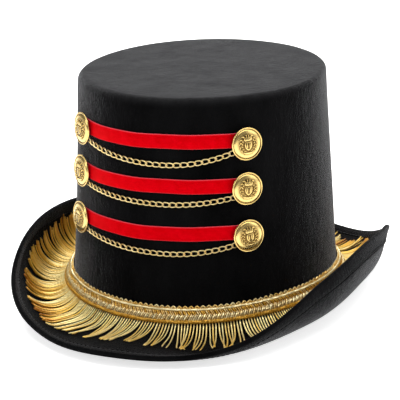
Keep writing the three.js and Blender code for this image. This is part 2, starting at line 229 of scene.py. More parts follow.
def addPiece(name, bm, materials, slot, *nodes):
    bmesh.ops.recalc_face_normals(bm, faces=bm.faces)
    mesh = bpy.data.meshes.new(name)
    bm.to_mesh(mesh)
    bm.free()
    mesh.shade_smooth()
    for material in materials:
        mesh.materials.append(material)
    piece = bpy.data.objects.new(name, mesh)
    scene.collection.objects.link(piece)
    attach(piece, "root")
    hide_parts(*nodes)
    print(f"{name}: {len(mesh.polygons)} faces")
    return piece


# Materials

def makeMaterial(name, sockets):
    material = bpy.data.materials.new(name)
    material.use_nodes = True
    shader = material.node_tree.nodes["Principled BSDF"]
    for socket, value in sockets.items():
        shader.inputs[socket].default_value = value
    return material, shader


def addNode(shader, kind, inputs=None, **options):
    made = shader.id_data.nodes.new("ShaderNode" + kind)
    for option, value in options.items():
        setattr(made, option, value)
    for socket, value in (inputs or {}).items():
        if isinstance(value, bpy.types.NodeSocket):
            shader.id_data.links.new(value, made.inputs[socket])
        else:
            made.inputs[socket].default_value = value
    return made


def plug(shader, output, socket):
    shader.id_data.links.new(output, shader.inputs[socket])


def addNoise(shader, scale, detail, stretch=(1, 1, 1), roughness=0.5):
    place = addNode(shader, "TexCoord").outputs["Object"]
    mapped = addNode(shader, "Mapping", {"Vector": place, "Scale": stretch})
    return addNode(shader, "TexNoise", {
        "Vector": mapped.outputs[0], "Scale": scale, "Detail": detail, "Roughness": roughness,
    }).outputs["Fac"]


def addRamp(shader, factor, *stops):
    ramp = addNode(shader, "ValToRGB", {"Fac": factor})
    points = ramp.color_ramp.elements
    while len(points) < len(stops):
        points.new(0.5)
    for point, (place, colour) in zip(points, stops):
        point.position = place
        point.color = (*colour, 1)
    return ramp.outputs["Color"]


def addBump(shader, height, distance, strength=1, under=None):
    inputs = {"Height": height, "Distance": distance, "Strength": strength}
    if under:
        inputs["Normal"] = under
    return addNode(shader, "Bump", inputs).outputs["Normal"]


# Nap, tufts and unevenness of velour: scale, detail and squeeze of the noise, its roughness, and
# the depth and strength of the bump
velourBumps = [
    (1300, 4, (1, 1, 0.6), 0.7, 0.0007, 0.7), (330, 3, (1, 1, 0.5), 0.6, 0.001, 0.35),
    (70, 4, (1, 1, 0.6), 0.5, 0.0014, 0.4),
]


def makeVelour(name, dark, pale, sheen, paintedTopLight=None):
    material, shader = makeMaterial(name, {
        "Roughness": 1, "Specular IOR Level": 0.04,
        "Sheen Weight": sheen, "Sheen Roughness": 0.26, "Sheen Tint": (0.97, 0.97, 1, 1),
    })
    marks = addNoise(shader, 26, 5, (1, 1, 0.45), 0.62)
    colour = addRamp(shader, marks, (0.36, dark), (0.68, pale))
    if paintedTopLight:  # paler on the lid as painted light from above
        paintedTopColour = addRamp(shader, addNoise(shader, 60, 7, roughness=0.68), *zip((0.34, 0.66), paintedTopLight))
        tone = addNode(shader, "Attribute", attribute_name="tone").outputs["Fac"]
        mixed = addNode(shader, "MixRGB", {"Fac": tone, "Color1": colour, "Color2": paintedTopColour})
        colour = mixed.outputs[0]
    plug(shader, colour, "Base Color")
    normal = None
    for scale, detail, squeeze, roughness, depth, strength in velourBumps:
        noise = addNoise(shader, scale, detail, squeeze, roughness)
        normal = addBump(shader, noise, depth, strength, normal)
    plug(shader, normal, "Normal")
    return material


def makeThreadGold(name, colours, twists, plies, roughness, bump):
    # Threads twisted out of plies. The tone attribute picks the colour, from dark to pale.
    material, shader = makeMaterial(name, {
        "Metallic": 0.6, "Roughness": roughness, "Specular IOR Level": 0.5,
    })
    tone = addNode(shader, "Attribute", attribute_name="tone").outputs["Fac"]
    plug(shader, addRamp(shader, tone, *zip((0, 0.5, 1), colours)), "Base Color")
    unwrapped = addNode(shader, "TexCoord").outputs["UV"]
    around = addNode(shader, "SeparateXYZ", {"Vector": unwrapped}).outputs

    def multiplyAdd(value, factor, added):
        return addNode(shader, "Math", {0: value, 1: factor, 2: added}, operation="MULTIPLY_ADD").outputs[0]

    turned = multiplyAdd(around["X"], 2 * math.pi * plies, 0)
    phase = multiplyAdd(around["Y"], 2 * math.pi * twists, turned)
    slipped = multiplyAdd(addNoise(shader, 190, 1), 14, phase)
    wave = addNode(shader, "Math", {0: slipped}, operation="SINE").outputs[0]
    plug(shader, addBump(shader, wave, 0.0002, bump), "Normal")
    return material


# The crown's velour is painted paler on the lid, standing in for the light from above
velour = makeVelour(
    "blackVelour", (0.0007, 0.0007, 0.0008), (0.0036, 0.0036, 0.0038), 0.4,
    ((0.011, 0.011, 0.012), (0.032, 0.032, 0.033)),
)
# A darker copy of the velour with little sheen: painted shade for the brim's upper face
brimShadedVelour = makeVelour("brimShadedVelour", (0.0006, 0.0006, 0.0007), (0.0028, 0.0028, 0.003), 0.09)
bindingVelour = makeVelour("bindingVelour", (0.001, 0.001, 0.0011), (0.0045, 0.0045, 0.0048), 0.15)

lining, liningShader = makeMaterial("blackLining", {"Roughness": 0.7, "Sheen Weight": 0.2})
weave = addNoise(liningShader, 1400, 2)
woven = addRamp(liningShader, weave, (0.3, (0.006, 0.006, 0.007)), (0.7, (0.014, 0.014, 0.015)))
plug(liningShader, woven, "Base Color")
plug(liningShader, addBump(liningShader, weave, 0.0003, 0.6), "Normal")

leather, leatherShader = makeMaterial("sweatbandLeather", {"Roughness": 0.5, "Specular IOR Level": 0.4})
grain = addNode(leatherShader, "TexVoronoi", {
    "Vector": addNode(leatherShader, "TexCoord").outputs["Object"], "Scale": 900,
}).outputs["Distance"]
hide = addRamp(leatherShader, grain, (0, (0.01, 0.009, 0.008)), (1, (0.02, 0.017, 0.015)))
plug(leatherShader, hide, "Base Color")
plug(leatherShader, addBump(leatherShader, grain, 0.0002, 0.5), "Normal")

blackThread = makeMaterial("blackThread", {"Base Color": (0.012, 0.012, 0.013, 1), "Roughness": 0.6})[0]

velvet, velvetShader = makeMaterial("redVelvet", {
    "Metallic": 0.4, "Roughness": 0.5, "Specular IOR Level": 0.03, "Specular Tint": (1, 0.02, 0.08, 1),
    "Sheen Weight": 0.3, "Sheen Roughness": 0.32, "Sheen Tint": (1, 0.01, 0.06, 1),
})
pile = addNoise(velvetShader, 220, 4)
velvetColour = addNode(velvetShader, "MixRGB", {
    "Fac": addNode(velvetShader, "Attribute", attribute_name="tone").outputs["Fac"],
    "Color1": addRamp(velvetShader, pile, (0.3, (0.5, 0, 0.002)), (0.7, (0.6, 0.0004, 0.005))),
    "Color2": (0.8, 0.09, 0.12, 1),  # the satin edges, the top one paler as a painted highlight
})
plug(velvetShader, velvetColour.outputs[0], "Base Color")
plug(velvetShader, addBump(velvetShader, addNoise(velvetShader, 2200, 2), 0.0003, 0.4), "Normal")

strandColours = ((0.55, 0.2, 0.01), (0.92, 0.58, 0.09), (1, 0.86, 0.42))
strandGold = makeThreadGold("strandGold", strandColours, 20, 2, 0.36, 0.5)
braidColours = ((0.16, 0.06, 0.006), (0.86, 0.48, 0.06), (1, 0.88, 0.52))
braidGold = makeThreadGold("braidGold", braidColours, 3, 2, 0.27, 0.7)

# The tone attribute darkens the buttons' hollows: antique patina, and painted shade around the relief
buttonGold, buttonShader = makeMaterial("buttonGold", {"Metallic": 1, "Roughness": 0.23})
patinaAndShade = addNode(buttonShader, "Attribute", attribute_name="tone").outputs["Fac"]
patinaAndShadeColour = addRamp(buttonShader, patinaAndShade, (0, (0.8, 0.58, 0.21)), (1, (0.1, 0.05, 0.01)))
plug(buttonShader, patinaAndShadeColour, "Base Color")
plug(buttonShader, addBump(buttonShader, addNoise(buttonShader, 420, 3), 0.0002, 0.25), "Normal")

chainGold, chainShader = makeMaterial("chainGold", {"Metallic": 1, "Roughness": 0.28})
plated = addRamp(
    chainShader, addNoise(chainShader, 300, 2), (0.3, (0.84, 0.62, 0.24)), (0.7, (0.96, 0.79, 0.42)),
)
plug(chainShader, plated, "Base Color")
plug(chainShader, addBump(chainShader, addNoise(chainShader, 900, 2), 0.0001, 0.3), "Normal")
print("materials: made")


# Crown: one shell, from the middle of the lining over the foot to the middle of the lid

crown = {
    "columns": 224, "sideRows": 30, "insideRows": 10, "cornerRows": 6,
    "lidShares": (0.93, 0.8, 0.6, 0.35, 0.12, 0),
    "sharpTurn": 125, "sharpness": 0.45,  # where the rounded edge is sharpest, and by how much
    "liningDepth": 1.4,  # faces of the side that lie this far in are lining
}


def crownSection():
    side, corner, wall = form["crownHeight"] - form["crownCorner"], form["crownCorner"], form["crownWall"]
    rows = []  # height, inset from the side, share of the way out over the lid
    for share in reversed(crown["lidShares"]):
        rows.append((form["crownHeight"] - wall, corner, share))
    for step in range(crown["cornerRows"], -1, -1):
        angle = math.pi / 2 * step / crown["cornerRows"]
        inner = corner - wall
        rows.append((side + inner * math.sin(angle), corner - inner * math.cos(angle), 1))
    rows += [(side * (1 - step / crown["insideRows"]), wall, 1) for step in range(1, crown["insideRows"] + 1)]
    rows += [(side * step / crown["sideRows"], 0, 1) for step in range(crown["sideRows"])]
    for step in range(crown["cornerRows"] + 1):
        angle = math.pi / 2 * step / crown["cornerRows"]
        rows.append((side + corner * math.sin(angle), corner - corner * math.cos(angle), 1))
    rows += [(form["crownHeight"], corner, share) for share in crown["lidShares"]]
    return rows


crownShell = bmesh.new()
section = crownSection()
lastRow = len(section) - 1
edgeRow = lastRow - len(crown["lidShares"]) - crown["cornerRows"]  # foot of the outer rounded edge
sideTop = form["crownHeight"] - form["crownCorner"]


def placeCrown(across, along):
    row = round(along * lastRow)
    height, inset, share = section[row]
    turn = 360 * across
    if row >= edgeRow:  # the edge is sharper at the right and the back
        softness = 1 - crown["sharpness"] * max(0, math.cos(math.radians(turn - crown["sharpTurn"])))
        height = form["crownHeight"] - (form["crownHeight"] - height) * softness
        inset *= softness
    point = crownPoint(turn, min(height, sideTop), -inset, share)
    point.z = crownPoint(turn, height).z if height > 0 else point.z
    return point


def paintedLidShare(across, along):  # 1 on the outside of the lid, fading over the rounded edge: where the painted light from above lies
    return min(1, max(0, (round(along * lastRow) - edgeRow) / crown["cornerRows"])) ** 1.5


wrapGrid(crownShell, crown["columns"], lastRow, placeCrown, paintedLidShare)
lidInside = form["crownHeight"] - form["crownWall"] / 2
for face in crownShell.faces:
    middle = face.calc_center_median() / mm
    height = middle.z - footLine
    outside = crownPoint(math.degrees(math.atan2(middle.x, -middle.y)), height).xy.length / mm
    inside = height < lidInside and middle.xy.length < outside - crown["liningDepth"]
    if inside and not (height > sideTop and face.normal.z > 0.1):
        face.material_index = 1
addPiece("crownShell", crownShell, (velour, lining), "velour", "crown", "crown_tip")


# Brim: upper face, thinner rim inside the binding, underside

brim = {"columns": 240, "rows": 26, "mouth": 4.3}  # mouth: how far it reaches in under the crown


def brimSection(turn):
    rim = brimLength(turn)
    edgeAlong = rim - form["bindingWidth"] + 1
    thick, rebate = form["brimThickness"], form["rebate"]
    out = [-brim["mouth"], -2] + [edgeAlong * step / brim["rows"] for step in range(brim["rows"] + 1)]
    upper = [(along, 0) for along in out]
    upper += [(edgeAlong + 0.6, rebate), (rim - form["clearance"], rebate)]
    lower = [(along, thick - depth) for along, depth in reversed(upper)]
    return upper + lower


brimShell = bmesh.new()
brimCount = len(brimSection(0))


def placeBrim(across, along):
    return brimPoint(360 * across, *brimSection(360 * across)[round(along * brimCount) % brimCount])


wrapGrid(brimShell, brim["columns"], brimCount, placeBrim)
brimMap = brimShell.loops.layers.uv.active
for face in brimShell.faces:  # the upper face gets a darker, duller copy of the velour as painted shade from the crown
    if sum(loop[brimMap].uv.y for loop in face.loops) / len(face.loops) < 0.5:
        face.material_index = 1
addPiece("brimShell", brimShell, (velour, brimShadedVelour), "velour", "brim")


# Binding: a folded strip over the rim, puckered by the stitches along its edge

binding = {
    "stitches": 264, "perStitch": 4, "stitchLength": 0.62, "threadRadius": 0.28,
    "seam": 7.75,  # distance of the stitches from the rim
    "pucker": 0.22, "puckerMiddle": 7.4, "puckerReach": 2.4, "foldOut": 1.2,
    "section": [  # distance in from the rim, and how far it stands out from the upper face
        (8.9, -0.4), (9.05, 0.2), (8.8, 0.72), (8.3, 0.68), (7.95, 0.1), (7.7, -0.1), (7.4, 0.1), (6.9, 0.56),
        (6.1, 0.8), (4.5, 0.84), (2.5, 0.78), (0.8, 0.68), (-0.2, 0.5), (-0.9, -0.1),
    ],
}
bindingRing = bmesh.new()
foldMiddle = form["brimThickness"] / 2
half = [(inward, -stand) for inward, stand in binding["section"]]
fold = half + [(-binding["foldOut"], foldMiddle)]
fold += [(inward, form["brimThickness"] - depth) for inward, depth in reversed(half)]


def placeBinding(across, along):
    turn = 360 * across
    inward, depth = fold[round(along * len(fold)) % len(fold)]
    beat = math.cos(2 * math.pi * across * binding["stitches"])
    away = abs(inward - binding["puckerMiddle"])
    near = max(0, 1 - away / binding["puckerReach"])  # the puckers fade away from the seam
    side = -1 if depth < foldMiddle else 1
    wander = 0.25 * math.sin(17 * math.radians(turn)) + 0.15 * math.sin(41 * math.radians(turn) + 1)
    depth += side * binding["pucker"] * near * (beat - 0.3)
    inward += near * (wander + 0.12 * beat) if inward > 7 else 0
    return brimPoint(turn, brimLength(turn) - inward, depth)


def seamPoint(turn, depth):
    return brimPoint(turn, brimLength(turn) - binding["seam"], depth)


def addStitch(middle, side, face):
    points, ups = [], []
    for share, rise in ((-0.5, 0.12), (-0.2, 0.42), (0.2, 0.42), (0.5, 0.12)):
        turn = 360 * (middle + binding["stitchLength"] * share) / binding["stitches"]
        points.append(seamPoint(turn, face + side * rise))
        ups.append(seamPoint(turn, face + side * 5) - seamPoint(turn, face))
    addThread(bindingRing, framed(points, ups), binding["threadRadius"] * mm, 5, finish=1)


wrapGrid(bindingRing, binding["stitches"] * binding["perStitch"], len(fold), placeBinding)
for index in range(binding["stitches"]):
    addStitch(index + 0.5, -1, 0)
    addStitch(index + 0.5, 1, form["brimThickness"])
addPiece("bindingStrip", bindingRing, (bindingVelour, blackThread), "velour_binding", "brim_binding")


# Sweatband: a thin strip inside the foot of the crown, with a stitched upper edge

sweatband = {
    "columns": 200, "stitches": 190, "threadRadius": 0.25, "seam": 12.6, "seamDepth": 0.95,
    "section": [  # height, and how far in from the crown's wall
        (0.3, 0), (0.3, 1.4), (4, 1.2), (8, 1.15), (11.6, 1.2),
        (12.6, 0.95), (13.4, 1.3), (14.2, 1.1), (14.3, 0.6), (13.9, 0.1),
    ],
}
bandRing = bmesh.new()
bandOut = -form["crownWall"] - form["clearance"]
bandRows = len(sweatband["section"])


def placeBand(across, along):
    height, inward = sweatband["section"][round(along * bandRows) % bandRows]
    return crownPoint(360 * across, height, bandOut - inward)


wrapGrid(bandRing, sweatband["columns"], bandRows, placeBand)
for index in range(sweatband["stitches"]):
    points, ups = [], []
    for share, rise in ((0.2, 0), (0.4, 0.25), (0.6, 0.25), (0.8, 0)):
        turn = 360 * (index + share) / sweatband["stitches"]
        points.append(crownPoint(turn, sweatband["seam"], bandOut - sweatband["seamDepth"] - rise))
        ups.append(oval(turn, 1, 1))
    addThread(bandRing, framed(points, ups), sweatband["threadRadius"] * mm, 5, finish=1)
addPiece("sweatbandStrip", bandRing, (leather, blackThread), "sweatband", "sweatband")


# Header braid: a woven band with picots and a twisted cord on top and a wrapped roll below

braid = {
    "middleRadius": 100, "pitch": 3.2, "sides": 6,
    "picotPitch": 4.3, "picotRadius": 0.47, "picotHeight": 1.75, "picotWidth": 1.5,
    "picotFoot": (1.1, 13.6), "picotSteps": 6,
    "cord": (2.65, 13.3), "cordRadius": 0.68, "cordTwist": 1.5, "cordBeads": 0.3,
    "core": [
        (0.4, 5.2), (0.4, 13.7), (1.6, 13.7), (2.6, 12.6), (5.0, 7.3), (5.3, 6.0), (4.7, 5.2),
    ],
    # Each row: path out and up, threads in a stitch with their offset and radius, lean, tone; the roll's low
    # tone is painted shade
    "ledge": {
        "path": [(0.8, 13.9), (1.5, 14.1), (2.3, 13.6)],
        "threads": [(0, 0.4), (1.05, 0.4), (2.1, 0.4)], "lean": -0.5, "tone": (0.45, 0.75),
    },
    "upper": {
        "path": [(2.8, 12.8), (3.4, 11.9), (3.9, 10.6), (4.2, 9.7)],
        "threads": [(0, 0.46), (1.35, 0.32)], "lean": 2.2, "tone": (0.4, 0.8),
    },
    "lower": {
        "path": [(3.8, 10.4), (4.7, 9.5), (5.4, 7.9), (5.7, 6.6)],
        "threads": [(0.9, 0.7), (2.35, 0.33)], "lean": -2.4, "tone": (0.75, 1),
    },
    "roll": {
        "path": [(5.2, 7.0), (6.0, 6.6), (6.4, 5.8), (6.0, 4.95), (5.0, 4.85)],
        "threads": [(0.4, 0.55), (1.45, 0.55), (2.5, 0.55)], "lean": -0.5, "tone": (0.3, 0.5),
    },
}
headRing = bmesh.new()
braidRandom = random.Random(11)
around = 2 * math.pi * braid["middleRadius"]
coreRows = len(braid["core"])


def braidPoint(turn, out, up):
    drop = footDrop(turn) * min(up, form["dipFade"]) / form["dipFade"]
    return crownPoint(turn, max(up, 0), out) - Vector((0, 0, drop * mm))


def braidTurn(length):  # degrees that a length along the braid takes up
    return 360 * length / around


def addBraidRow(row):
    count = round(around / braid["pitch"])
    last = len(row["path"]) - 1
    for index in range(count):
        for offset, radius in row["threads"]:
            shift = offset + braidRandom.uniform(-0.12, 0.12)
            points, ups = [], []
            for step, (out, up) in enumerate(row["path"]):
                turn = 360 * index / count + braidTurn(shift + row["lean"] * (step / last - 0.5))
                points.append(braidPoint(turn, out, up))
                ups.append(braidPoint(turn, out + 1, up + 0.5) - points[-1])
            tone = braidRandom.uniform(*row["tone"])
            addThread(headRing, framed(points, ups), radius * mm, braid["sides"], tone)


def placeCore(across, along):
    return braidPoint(360 * across, *braid["core"][round(along * coreRows) % coreRows])


# The core gets the darkest tone as painted shade in the gaps between the threads
wrapGrid(headRing, 168, coreRows, placeCore, tone=0.05)
for name in ("ledge", "upper", "lower", "roll"):
    addBraidRow(braid[name])

picotCount = round(around / braid["picotPitch"])
for index in range(picotCount):
    middle = 360 * index / picotCount
    height = braid["picotHeight"] * braidRandom.uniform(0.88, 1.1)
    points = []
    for step in range(braid["picotSteps"] + 1):
        angle = math.pi * step / braid["picotSteps"]
        spread = braid["picotWidth"] * (math.cos(angle) + 0.25 * math.cos(3 * angle))
        out, up = braid["picotFoot"]
        points.append(braidPoint(middle - braidTurn(spread), out, up + height * math.sin(angle)))
    loop = framed(points, [oval(middle, 1, 1)] * len(points))
    tone = braidRandom.uniform(0.55, 0.95)
    addThread(headRing, loop, braid["picotRadius"] * mm, braid["sides"], tone)

cordTwists = round(around / braid["cordTwist"])


def placeCord(across, along):
    turn, angle = 360 * across, 2 * math.pi * along
    bead = math.cos(2 * angle - 2 * math.pi * cordTwists * across)
    size = braid["cordRadius"] * (1 + braid["cordBeads"] * bead)
    out, up = braid["cord"]
    return braidPoint(turn, out + size * math.cos(angle), up + size * math.sin(angle))


wrapGrid(headRing, cordTwists * 6, 8, placeCord, tone=0.95)
addPiece("headerBraid", headRing, (braidGold,), "gold_braid", "fringe_braid")


# Fringe: twisted cords in locks, from under the braid to the binding

fringe = {
    "radius": 0.52, "sides": 5, "steps": 12, "start": 4.6, "root": (4.7, 5.3),
    "length": [  # turn, and how far out over the brim the cords reach
        (-180, 44), (-120, 45), (-60, 45.5), (-30, 43), (-10, 41), (45, 41), (80, 44), (180, 44),
    ],
    "pitch": [  # turn, and distance between the cords there
        (-180, 1.6), (-150, 0.95), (-56, 1), (-38, 1.45), (-24, 2.05), (0, 2.15),
        (40, 2.05), (62, 1.7), (78, 1.05), (150, 0.95), (180, 1.6),
    ],
    "loose": (-32, 60),  # the part at the front where each cord lies by itself
    "stray": (85, 160),  # the part at the right where the cords stand up
    "strayHeight": 5, "calmHeight": 0.8,
}
fringeRing = bmesh.new()
fringeRandom = random.Random(29)


def readTable(table, place):
    for (low, start), (high, end) in zip(table, table[1:]):
        if place <= high:
            return start + (end - start) * (place - low) / (high - low)
    return table[-1][1]


def addStrand(turnStart, lock, lockOffset, tuft, offset):
    # One cord, at an offset from the middle of its lock and of its tuft in the lock
    reach = readTable(fringe["length"], turnStart) - fringe["start"]
    reach *= lock["length"] * tuft["length"] * fringeRandom.uniform(0.95, 1.01)
    layer = fringeRandom.choice((0, 1, 2)) * lock["depth"]
    wave, phase = fringeRandom.uniform(-0.7, 0.7), fringeRandom.uniform(0, 6.3)
    own = fringeRandom.gauss(0, lock["mess"])
    stray = fringeRandom.uniform(0, 1) ** 2 * lock["stray"]
    gold = fringeRandom.gauss(0.8, 0.13) + lock["tint"]
    root = braidPoint(turnStart, *fringe["root"])
    points, ups = [], []
    for step in range(fringe["steps"] + 1):
        share = step / fringe["steps"]
        along = fringe["start"] + reach * share
        sideways = lock["lean"] * share ** 1.4 - lockOffset * lock["pinch"] * share ** 1.6
        sideways += tuft["lean"] * share ** 1.8 - offset * tuft["pinch"] * share ** 1.7
        sideways += own * share ** 2 + wave * math.sin(5 * share + phase) * share
        turn = turnStart + braidTurn(sideways)
        stand = fringe["radius"] + 0.12 + layer * (1 - 0.5 * share)
        stand += (stray + lock["lift"]) * share ** 2
        point = brimPoint(turn, along, -stand)
        up = brimPoint(turn, along, -stand - 5) - point
        if step == 0:
            rise = root - point
        points.append(point + rise * (1 - share) ** 5)
        ups.append(up)

    def tone(across, along):  # deeper gold towards the tip
        return min(1, max(0, gold + 0.12 - lock["fade"] * along ** 1.3))

    radius = fringe["radius"] * mm * fringeRandom.uniform(0.86, 1.1)
    addThread(fringeRing, framed(points, ups), radius, fringe["sides"], tone)


def looseLock():
    tufts = [fringeRandom.choice((1, 2, 2, 3, 3, 4))]
    return tufts, {
        "lean": fringeRandom.gauss(0, 3.2), "pinch": 0, "length": fringeRandom.uniform(0.96, 1.02),
        "depth": 0.3, "mess": 1, "fade": 0.25, "tint": 0, "lift": 1.2,
        "tuftLean": 0.6, "tuftPinch": (0.2, 1.15),
    }


def closeLock(flow):
    tufts = [fringeRandom.choice((1, 2, 2, 3, 3)) for _ in range(fringeRandom.choice((1, 2, 2, 3, 4)))]
    return tufts, {
        "lean": flow + fringeRandom.gauss(0, 1.6), "pinch": fringeRandom.uniform(0.1, 0.4),
        "length": fringeRandom.uniform(0.95, 1.01), "depth": 0.7, "mess": 0.6,
        "fade": fringeRandom.uniform(0.45, 0.9), "tint": fringeRandom.gauss(0, 0.09), "lift": 0.3,
        "tuftLean": 1.1, "tuftPinch": (0.45, 0.95),
    }


strandCount, turnNow, flow = 0, -180, 0
while turnNow < 179:
    pitch = readTable(fringe["pitch"], turnNow)
    flow = 0.7 * flow + fringeRandom.gauss(0, 1.5)  # neighbouring locks lean nearly alike
    isLoose = fringe["loose"][0] < turnNow < fringe["loose"][1]
    tufts, lock = looseLock() if isLoose else closeLock(flow)
    standsUp = fringe["stray"][0] < turnNow < fringe["stray"][1]
    lock["stray"] = fringe["strayHeight"] if standsUp else fringe["calmHeight"]
    width, member = sum(tufts) * pitch, 0
    for count in tufts:
        tuft = {
            "lean": fringeRandom.gauss(0, lock["tuftLean"]),
            "pinch": fringeRandom.uniform(*lock["tuftPinch"]),
            "length": fringeRandom.uniform(0.93, 1.02),
        }
        for index in range(count):
            lockOffset = (member + 0.5) * pitch - width / 2
            offset = (index + 0.5 - count / 2) * pitch
            addStrand(turnNow + braidTurn(width / 2 + lockOffset), lock, lockOffset, tuft, offset)
            member += 1
    strandCount += member
    turnNow += braidTurn(width)
print(f"fringe: {strandCount} cords")
addPiece("fringeCords", fringeRing, (strandGold,), "gold_fringe", "fringe")


# Ribbons, chains and buttons across the front of the crown

trims = {
    # Height as a share of the crown's, and where the chain leaves the buttons and hangs lowest, in
    # button radii below their middle
    "rows": {"top": (0.8, 0.6, 1.23), "middle": (0.6, 0.58, 0.92), "bottom": (0.387, 0.6, 1.05)},
    "buttonTurn": 41.8, "buttonRadius": 11.4, "buttonLift": 2.5, "buttonRoll": (3, -4, 6),
    "ribbonRaise": 2, "ribbonTuck": 3, "chainTuck": 3, "chainLeave": 0.8, "chainLowTurn": 7,
}
degreesPerLength = 180 / (math.pi * form["footHalfWidth"])

ribbon = {
    "columns": 66,
    "section": [  # up from the middle, out from the crown, and how pale it is: satin edges, the top edge paler as a painted highlight
        (-5, 0.7, 0.4), (-4.95, 1.12, 0.4), (-4.8, 1.28, 0.3), (-4.55, 1.2, 0.05), (-3.9, 1.3, 0),
        (-1.5, 1.42, 0), (1.5, 1.42, 0), (3.9, 1.3, 0), (4.55, 1.2, 0.1), (4.8, 1.32, 0.7),
        (4.95, 1.15, 0.9), (5, 0.7, 0.6), (4.9, 0.32, 0), (0, 0.3, 0), (-4.9, 0.32, 0),
    ],
}


def addRibbon(name, height):
    bm = bmesh.new()
    end = trims["buttonTurn"] + trims["ribbonTuck"] * degreesPerLength
    section = ribbon["section"]
    rows = len(section)

    def place(across, along):
        turn = end * (2 * across - 1)
        up, out, pale = section[round(along * rows) % rows]
        sway = 0.25 * math.sin(turn / 9 + height) + 0.12 * math.sin(turn / 3.7)
        return crownPoint(turn, height + up + sway, out)

    def satinAndHighlight(across, along):
        return section[round(along * rows) % rows][2]

    wrapGrid(bm, ribbon["columns"], rows, place, tone=satinAndHighlight)
    openEdges = [edge for edge in bm.edges if edge.is_boundary]
    bmesh.ops.holes_fill(bm, edges=openEdges, sides=0)
    addPiece("ribbon" + name.capitalize(), bm, (velvet,), "red_velvet", "ribbon_" + name)


chain = {
    "pitch": 4.75, "width": 4.05, "wire": 0.42, "steps": 16, "sides": 6, "twist": 36,
    "endPower": 0.85, "sidePower": 0.75,  # under 1 squares the links off
    "routeSteps": 600, "aheadSteps": 8,
}


def squared(value, power):
    return math.copysign(abs(value) ** power, value)


def addLink(bm, centre, ahead, halfLength, halfWidth):
    outward = Vector((centre.x, centre.y, 0)).normalized()
    outward = (outward - ahead * outward.dot(ahead)).normalized()
    across = outward.cross(ahead)
    points, ups = [], []
    for step in range(chain["steps"]):
        angle = 2 * math.pi * (step + 0.5) / chain["steps"]
        reach = squared(math.cos(angle), chain["endPower"])
        wide = halfWidth * squared(math.sin(angle), chain["sidePower"])
        tilt = math.radians(chain["twist"]) * reach
        sideways = across * math.cos(tilt) + outward * math.sin(tilt)
        points.append(centre + ahead * (halfLength * reach) + sideways * wide)
        ups.append(outward * math.cos(tilt) - across * math.sin(tilt))
    addThread(bm, framed(points, ups, closed=True), chain["wire"] * mm, chain["sides"], closed=True)


def addChain(name, height, leave, hang):
    bm = bmesh.new()
    radius = trims["buttonRadius"]
    leaveTurn = trims["buttonTurn"] - trims["chainLeave"] * radius * degreesPerLength
    endTurn = leaveTurn + trims["chainTuck"] * degreesPerLength
    lowTurn = trims["chainLowTurn"]

    def routePoint(turn):
        end = math.copysign(leaveTurn, turn - lowTurn)
        share = (turn - lowTurn) / (end - lowTurn)
        fall = radius * (hang - (hang - leave) * share ** 2)
        return crownPoint(turn, height - fall, trims["buttonLift"] / 2)

    count, near = chain["routeSteps"], chain["aheadSteps"]
    route = [routePoint(endTurn * (2 * index / count - 1)) for index in range(count + 1)]
    spans = [(after - before).length for before, after in zip(route, route[1:])]
    links = round(sum(spans) / (chain["pitch"] * mm))
    gap = sum(spans) / links
    travelled, nextPlace = 0, gap / 2
    halfLength = gap / 2 + chain["wire"] * mm
    halfWidth = (chain["width"] / 2 - chain["wire"]) * mm
    for index, span in enumerate(spans):
        travelled += span
        if travelled < nextPlace:
            continue
        nextPlace += gap
        ahead = route[min(index + 1 + near, count)] - route[max(index - near, 0)]
        addLink(bm, route[index + 1], ahead.normalized(), halfLength, halfWidth)
    addPiece("chain" + name.capitalize(), bm, (chainGold,), "gold_chain", "chain_" + name)


button = {
    "segments": 72,
    "profile": [  # distance from the middle, and height above the back
        (1.6, -0.9), (1.6, 0.1), (10.4, 0.1), (10.85, 0.18), (11.2, 0.42), (11.38, 0.8),
        (11.25, 1.16), (10.98, 1.34), (10.65, 1.3), (10.4, 1.08), (10.2, 0.86), (10.0, 0.88),
        (9.8, 1.1), (9.6, 1.34), (9.3, 1.5),
    ],
    "domeRadius": 9.3, "domeEdge": 1.5, "domeRise": 1.1,
    "domeShares": (0.9, 0.78, 0.64, 0.5, 0.36, 0.22, 0.1),
    "fieldRadius": 7.9, "groove": (9.9, 10.5),  # parts of the face darkened by patina and painted shade
    "yaw": {"left": 5, "right": 6},
    "sewn": {  # how far each one is off its mark, to the right and up
        "buttonLeftTop": (0, -0.4), "buttonLeftMiddle": (-0.4, 0.3), "buttonLeftBottom": (-1, -0.4),
        "buttonRightTop": (1.2, -0.9), "buttonRightMiddle": (0.4, -0.8), "buttonRightBottom": (0.3, -0.8),
    },
}

